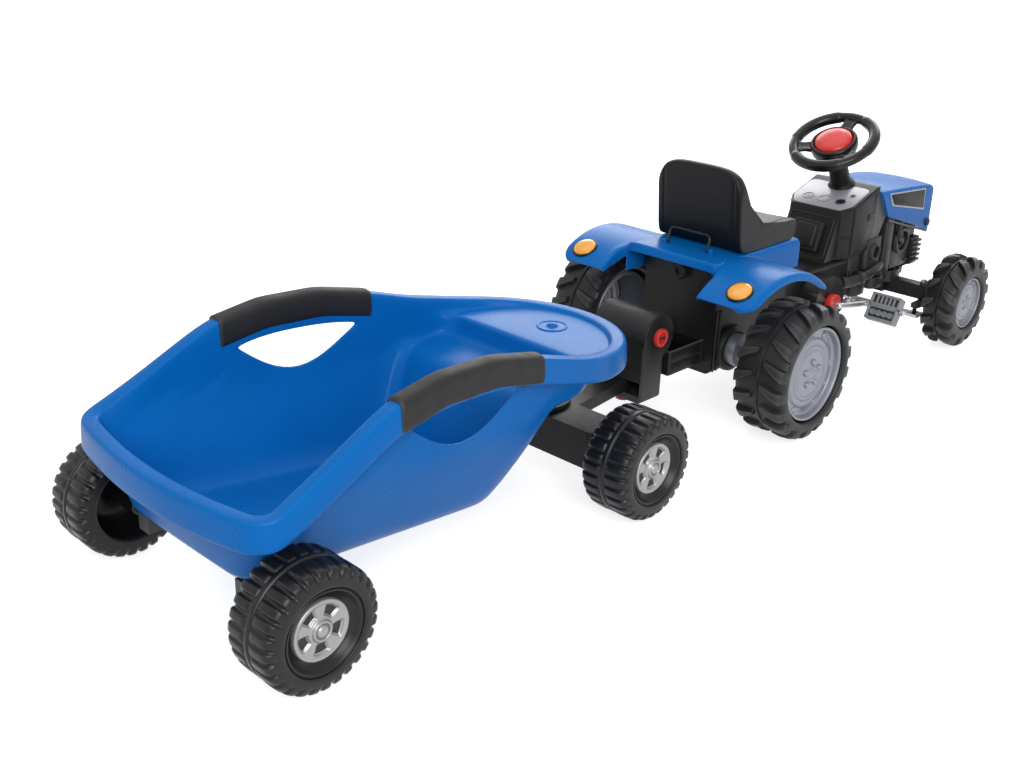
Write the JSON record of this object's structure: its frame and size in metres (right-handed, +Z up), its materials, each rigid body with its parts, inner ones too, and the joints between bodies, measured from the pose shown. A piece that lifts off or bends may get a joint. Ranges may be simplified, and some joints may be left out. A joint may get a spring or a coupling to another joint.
{
  "type": "ride on pedal tractor with trailer",
  "caption": "Pedal driven ride on toy tractor with steered front wheels, chain drive, sliding seat and a hitched tub trailer on a turntable bogie.",
  "frame": {"origin": "middle of the footprint on the floor, on the centre line", "axes": "+X forward along the train, +Y to the driver's left, +Z up"},
  "size_m": [1.841, 0.516, 0.467],
  "materials": {
    "blue_plastic": "glossy moulded",
    "black_plastic": "satin moulded",
    "black_gloss": "glossy moulded",
    "tread_black": "matte textured",
    "grip_black": "fine grain",
    "rim_grey": "satin moulded",
    "pedal_grey": "satin moulded",
    "panel_grey": "printed foil, plain",
    "panel_dark": "plain foil",
    "red_plastic": "glossy moulded",
    "lamp_orange": "glossy",
    "lamp_clear": "glossy",
    "hub_silver": "metallised",
    "steel": "zinc plated"
  },
  "bodies": {
    "chassis": {"chassis_left": "black_plastic", "chassis_right": "black_plastic", "rear_plug": "black_plastic", "cowl": "black_plastic", "dash_panel": "panel_grey", "engine_block": "black_plastic", "hood": "blue_plastic", "hood_panels": "panel_dark", "grille": "black_plastic", "headlamps": "lamp_clear", "fender_saddle": "blue_plastic", "tail_lamps": "lamp_orange", "column_sleeve": "black_plastic", "kingpins": "steel", "front_axle_beam": "black_plastic", "crank_caps": "red_plastic", "chain": "steel", "axle_bushes": "black_plastic", "hitch_bracket": "black_plastic"},
    "seat": {"seat": "black_plastic"},
    "seat_bail": {"seat_bail": "steel"},
    "steering": {"steering_wheel": "black_plastic", "steering_column": "steel"},
    "horn": {"horn_button": "red_plastic"},
    "tie_rod": {"tie_rod": "steel"},
    "knuckle_left": {"knuckle_left": "black_plastic"},
    "knuckle_right": {"knuckle_right": "black_plastic"},
    "front_wheel_left": {"front_tyre_left": "tread_black", "front_rim_left": "rim_grey"},
    "front_wheel_right": {"front_tyre_right": "tread_black", "front_rim_right": "rim_grey"},
    "crank": {"crank": "steel", "crank_sprocket": "steel"},
    "pedal_left": {"pedal_left": "pedal_grey"},
    "pedal_right": {"pedal_right": "pedal_grey"},
    "drive_axle": {"rear_axle": "steel", "axle_sprocket": "steel", "rear_rim_right": "rim_grey", "rear_tyre_right": "tread_black"},
    "rear_wheel_left": {"rear_rim_left": "rim_grey", "rear_tyre_left": "tread_black"},
    "tow_head": {"tow_head": "black_plastic", "hitch_pins": "steel", "hitch_caps": "red_plastic"},
    "bogie": {"bogie_frame": "black_plastic", "bogie_axle": "steel", "king_bolt": "steel"},
    "tub": {"tub": "blue_plastic", "tub_grips": "grip_black", "trailer_axle_brackets": "black_plastic", "trailer_axle": "steel"},
    "trailer_wheel_front_left": {"trailer_wheel_front_left": "black_gloss", "hubcap_front_left": "hub_silver"},
    "trailer_wheel_front_right": {"trailer_wheel_front_right": "black_gloss", "hubcap_front_right": "hub_silver"},
    "trailer_wheel_rear_left": {"trailer_wheel_rear_left": "black_gloss", "hubcap_rear_left": "hub_silver"},
    "trailer_wheel_rear_right": {"trailer_wheel_rear_right": "black_gloss", "hubcap_rear_right": "hub_silver"}
  },
  "joints": [
    {"name": "seat_slide", "type": "slide", "parent": "chassis", "child": "seat", "axis": [1, 0, 0], "range_m": [0, 0.03]},
    {"name": "bail_tilt", "type": "hinge", "parent": "chassis", "child": "seat_bail", "pos_m": [0.1425, 0, 0.295], "axis": [0, 1, 0], "range_deg": [-80, 0]},
    {"name": "steering_turn", "type": "hinge", "parent": "chassis", "child": "steering", "pos_m": [0.59487, 0, 0.41972], "axis": [-0.4848, 0, 0.8746], "range_deg": [-30, 30]},
    {"name": "horn_press", "type": "slide", "parent": "steering", "child": "horn", "axis": [0.4848, 0, -0.8746], "range_m": [0, 0.004], "stiffness_N_per_m": 600, "springref_m": -0.003},
    {"name": "tie_rod_slide", "type": "slide", "parent": "chassis", "child": "tie_rod", "axis": [0, 1, 0], "range_m": [-0.0195, 0.0195]},
    {"name": "knuckle_left_turn", "type": "hinge", "parent": "chassis", "child": "knuckle_left", "pos_m": [0.8265, 0.132, 0.094], "axis": [0, 0, 1], "range_deg": [-25, 25]},
    {"name": "knuckle_right_turn", "type": "hinge", "parent": "chassis", "child": "knuckle_right", "pos_m": [0.8265, -0.132, 0.094], "axis": [0, 0, 1], "range_deg": [-25, 25]},
    {"name": "front_wheel_left_spin", "type": "hinge", "parent": "knuckle_left", "child": "front_wheel_left", "pos_m": [0.8265, 0.194, 0.094], "axis": [0, 1, 0], "continuous": true},
    {"name": "front_wheel_right_spin", "type": "hinge", "parent": "knuckle_right", "child": "front_wheel_right", "pos_m": [0.8265, -0.194, 0.094], "axis": [0, 1, 0], "continuous": true},
    {"name": "crank_spin", "type": "hinge", "parent": "chassis", "child": "crank", "pos_m": [0.4865, 0, 0.138], "axis": [0, 1, 0], "continuous": true},
    {"name": "pedal_right_spin", "type": "hinge", "parent": "crank", "child": "pedal_right", "pos_m": [0.58301, -0.128, 0.12098], "axis": [0, 1, 0], "continuous": true},
    {"name": "pedal_left_spin", "type": "hinge", "parent": "crank", "child": "pedal_left", "pos_m": [0.38999, 0.128, 0.15502], "axis": [0, 1, 0], "continuous": true},
    {"name": "rear_axle_spin", "type": "hinge", "parent": "chassis", "child": "drive_axle", "pos_m": [0.1865, 0, 0.118], "axis": [0, 1, 0], "continuous": true},
    {"name": "rear_wheel_left_spin", "type": "hinge", "parent": "chassis", "child": "rear_wheel_left", "pos_m": [0.1865, 0.208, 0.118], "axis": [0, 1, 0], "continuous": true},
    {"name": "tow_pitch", "type": "hinge", "parent": "chassis", "child": "tow_head", "pos_m": [0.0065, 0, 0.175], "axis": [0, 1, 0], "range_deg": [-8, 8]},
    {"name": "hitch_yaw", "type": "hinge", "parent": "tow_head", "child": "bogie", "pos_m": [-0.0095, 0, 0.078], "axis": [0, 0, 1], "range_deg": [-30, 30]},
    {"name": "turntable_yaw", "type": "hinge", "parent": "bogie", "child": "tub", "pos_m": [-0.2345, 0, 0.116], "axis": [0, 0, 1], "range_deg": [-25, 25]},
    {"name": "trailer_wheel_front_left_spin", "type": "hinge", "parent": "bogie", "child": "trailer_wheel_front_left", "pos_m": [-0.2345, 0.21, 0.082], "axis": [0, 1, 0], "continuous": true},
    {"name": "trailer_wheel_front_right_spin", "type": "hinge", "parent": "bogie", "child": "trailer_wheel_front_right", "pos_m": [-0.2345, -0.21, 0.082], "axis": [0, 1, 0], "continuous": true},
    {"name": "trailer_wheel_rear_left_spin", "type": "hinge", "parent": "tub", "child": "trailer_wheel_rear_left", "pos_m": [-0.8385, 0.21, 0.082], "axis": [0, 1, 0], "continuous": true},
    {"name": "trailer_wheel_rear_right_spin", "type": "hinge", "parent": "tub", "child": "trailer_wheel_rear_right", "pos_m": [-0.8385, -0.21, 0.082], "axis": [0, 1, 0], "continuous": true}
  ],
  "couplings": [
    {"joint": "tie_rod_slide", "follows": "steering_turn", "m_per_rad": -0.036287},
    {"joint": "knuckle_left_turn", "follows": "steering_turn", "ratio": 0.80638},
    {"joint": "knuckle_right_turn", "follows": "steering_turn", "ratio": 0.80638},
    {"joint": "crank_spin", "follows": "rear_axle_spin", "ratio": 0.71429}
  ]
}
